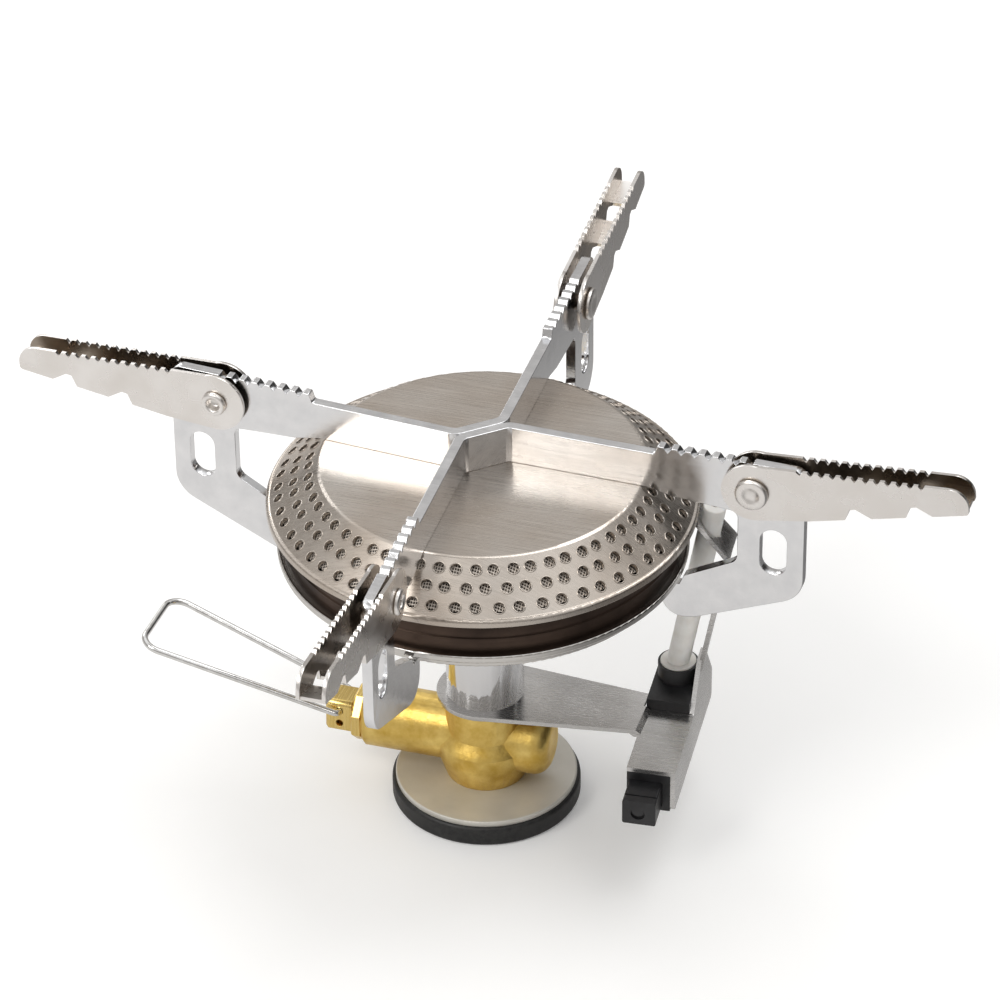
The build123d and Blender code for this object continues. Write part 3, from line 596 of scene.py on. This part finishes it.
def lathe(name, profile, seat, steps=48):
    """Mesh of a profile of (radius, height) points turned about the local Z of a seat matrix."""
    shape = bmesh.new()
    rings = []
    for radius, height in profile:
        if radius == 0:
            rings.append([shape.verts.new(seat @ Vector((0, 0, height)))] * steps)
            continue
        angles = [2 * math.pi * step / steps for step in range(steps)]
        spots = [spin_point(radius, angle, height) for angle in angles]
        rings.append([shape.verts.new(seat @ spot) for spot in spots])
    for lower, upper in zip(rings, rings[1:]):
        for step in range(steps):
            after = (step + 1) % steps
            corners = [lower[step], lower[after], upper[after], upper[step]]
            unique = list(dict.fromkeys(corners))
            if len(unique) > 2:
                shape.faces.new(unique)
    bmesh.ops.recalc_face_normals(shape, faces=shape.faces)
    return mesh_from(shape, name)


def arc(centre, radius, start, end, count):
    """Points (radius, height) of an arc in a lathe profile, from start to end in degrees."""
    points = []
    for step in range(count + 1):
        angle = math.radians(start + (end - start) * step / count)
        points.append((centre[0] + radius * math.cos(angle), centre[1] + radius * math.sin(angle)))
    return points


# Pivot rivet: the shank's radius, half the length between its ends, domed head and rolled tail.
rivet_shank, rivet_half = 1.58 * MM, 2.69 * MM
head_r, head_h, head_edge = 3.15 * MM, 1.15 * MM, 0.55 * MM
dimple_r, dimple_depth = 1.7 * MM, 0.45 * MM
dimple_curve = ((0.45, 0.93), (0.8, 0.45))    # fractions of the dimple's radius and depth
lip_depth, lip_width = 0.03 * MM, 0.25 * MM
tail_r, tail_h, tail_bore, tail_depth = 2.45 * MM, 0.78 * MM, 1.25 * MM, 1.5 * MM
tail_chamfer = (0.1 * MM, 0.12 * MM)
roll_rise = 0.6    # height of the roll's centre above the tail's end, as a share of its radius
tail_curve = ((1, 0.8), (0.8, 1), (0, 1.1))    # fractions of the tail's bore and depth


def rivet(arm):
    """Pivot rivet: domed head with a shallow dimple, and a rolled hollow tail."""
    joint = joints[f"{arm}_fold"]
    top = rivet_half + head_h
    tail = -rivet_half - tail_h
    roll = (tail_r - tail_bore) / 2
    profile = [(0, top - dimple_depth)]
    profile += [(dimple_r * out, top - dimple_depth * down) for out, down in dimple_curve]
    profile += [(dimple_r, top - lip_depth), (dimple_r + lip_width, top)]
    profile += arc((head_r - head_edge, top - head_edge), head_edge, start=75, end=0, count=6)
    profile += [(head_r, rivet_half), (rivet_shank, rivet_half), (rivet_shank, -rivet_half)]
    profile += [(tail_r - tail_chamfer[0], -rivet_half), (tail_r, -rivet_half - tail_chamfer[1])]
    profile += arc((tail_bore + roll, tail + roll * roll_rise), roll, start=0, end=-180, count=10)
    profile += [(tail_bore * out, tail + tail_depth * up) for out, up in tail_curve]
    name = f"pivot_rivet_{arm}"
    mesh = lathe(name, profile, seat_at(Vector(joint["pos_m"]), Vector(joint["axis"])))
    piece = add_piece(name, mesh, f"extension_{arm}", nickel[arm])
    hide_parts(f"rivet_{arm}")


for arm in arm_names:
    rivet(arm)

# Holes of the cap: three rows of pairs in its bevel; the angles are in degrees.
cap_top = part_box("burner_cap")[1].z
cap_top_r, bevel_foot_r, bevel_drop = 30.6 * MM, 39.8 * MM, 7.2 * MM
hole_rows = (32.5 * MM, 35.3 * MM, 38.2 * MM)
hole_r, pairs_per_row, pair_gap = 1.0 * MM, 30, 5.5
row_start, row_skew = -3.0, -2.75
collar_wire, collar_steps, wire_steps = 0.12 * MM, 20, 6


def add_collar(shape, seat):
    """Adds one collar, a thin torus round a hole, to a bmesh at a seat matrix."""
    loops = []
    for step in range(collar_steps):
        angle = 2 * math.pi * step / collar_steps
        loop = []
        for turn in range(wire_steps):
            section = spin_point(collar_wire, 2 * math.pi * turn / wire_steps, 0)
            reach = hole_r + collar_wire + section.x
            loop.append(shape.verts.new(seat @ spin_point(reach, angle, section.y)))
        loops.append(loop)
    for here, after in zip(loops, loops[1:] + loops[:1]):
        for turn in range(wire_steps):
            beside = (turn + 1) % wire_steps
            shape.faces.new((here[turn], after[turn], after[beside], here[beside]))


def hole_collars():
    """The small raised lip that the punch leaves round every hole of the cap."""
    shape = bmesh.new()
    slope = bevel_drop / (bevel_foot_r - cap_top_r)
    for row, radius in enumerate(hole_rows):
        height = cap_top - (radius - cap_top_r) * slope
        for pair in range(pairs_per_row):
            start = pair * 360 / pairs_per_row + row_start + row * row_skew
            for azimuth in (start, start + pair_gap):
                angle = math.radians(azimuth)
                normal = spin_point(slope, angle, 1).normalized()
                add_collar(shape, seat_at(spin_point(radius, angle, height), normal))
    name = "cap_hole_collars"
    add_piece(name, mesh_from(shape, name), "frame", cap_steel)


hole_collars()

# ---------------------------------------------------------------- stage

floor_half = 6.0
light_aim = Vector((0, 0, 0.06))


def floor():
    """Wide floor under the rubber ring."""
    shape = bmesh.new()
    bmesh.ops.create_grid(shape, x_segments=2, y_segments=2, size=floor_half)
    mesh = mesh_from(shape, "studio_floor")
    mesh.materials.append(pale_floor())
    plane = bpy.data.objects.new("studio_floor", mesh)
    plane.location.z = cad_low.z
    bpy.context.scene.collection.objects.link(plane)


def soft_light(name, place_at, size, power, color=(1, 1, 1)):
    """A square area light that looks at the burner."""
    light = bpy.data.lights.new(name, "AREA")
    light.shape = "SQUARE"
    light.size = size
    light.energy = power
    light.color = color
    lamp = bpy.data.objects.new(name, light)
    lamp.location = place_at
    aim = light_aim - Vector(place_at)
    lamp.rotation_euler = aim.to_track_quat("-Z", "Y").to_euler()
    bpy.context.scene.collection.objects.link(lamp)


def sky():
    """Studio surround: white above, grey walls with one dark side, and a dimmer zenith."""
    world = bpy.data.worlds.new("studio")
    world.use_nodes = True
    bpy.context.scene.world = world
    tree = world.node_tree
    direction = tree.nodes.new("ShaderNodeTexCoord").outputs["Generated"]
    height = split_xyz(tree, direction)[2]
    shade = smooth_step(tree, along(tree, direction, dark_side), start=0.35, end=0.8)
    walls = mix(tree, shade, (0.4, 0.385, 0.37), (0.04, 0.038, 0.037))
    zenith = smooth_step(tree, height, start=0.9, end=0.97)
    ceiling = mix(tree, zenith, (1.0, 1.0, 1.0), (0.45, 0.44, 0.43))
    rise = smooth_step(tree, height, start=0.45, end=0.85)
    color = mix(tree, rise, walls, ceiling)
    background = tree.nodes["Background"]
    tree.links.new(color, background.inputs["Color"])
    background.inputs["Strength"].default_value = 1.05


floor()
sky()
soft_light("key_light", (-0.55, -0.75, 0.95), size=0.55, power=5.0, color=(1.0, 0.985, 0.96))
soft_light("top_light", (0.25, 0.35, 1.3), size=0.7, power=4.0)
soft_light("back_light", (-0.75, 0.8, 0.55), size=0.5, power=1.6)

# ---------------------------------------------------------------- camera

camera_azimuth, camera_elevation, camera_roll = 17.22, 34.87, -0.66
camera_distance, near_clip = 0.935, 0.05
camera_lens, camera_sensor = 180.0, 36.0    # millimetres
camera_target = Vector((3.07, 0.95, 66.78)) * MM


def add_camera():
    """Camera of the reference view: azimuth 0 looks along +Y."""
    azimuth, elevation = math.radians(camera_azimuth), math.radians(camera_elevation)
    roll = math.radians(camera_roll)
    right = spin_point(1, azimuth, 0)
    away = right.cross(upward) * math.cos(elevation)
    back = away + upward * math.sin(elevation)
    up = back.cross(right)
    rolled_right = right * math.cos(roll) + up * math.sin(roll)
    rolled_up = up * math.cos(roll) - right * math.sin(roll)
    data = bpy.data.cameras.new("camera")
    data.lens = camera_lens
    data.sensor_width = camera_sensor
    data.clip_start = near_clip
    camera = bpy.data.objects.new("camera", data)
    turn = Matrix((rolled_right, rolled_up, back)).transposed().to_4x4()
    camera.matrix_world = Matrix.Translation(camera_target + back * camera_distance) @ turn
    bpy.context.scene.collection.objects.link(camera)
    bpy.context.scene.camera = camera


add_camera()
bpy.context.scene.view_settings.view_transform = "Standard"
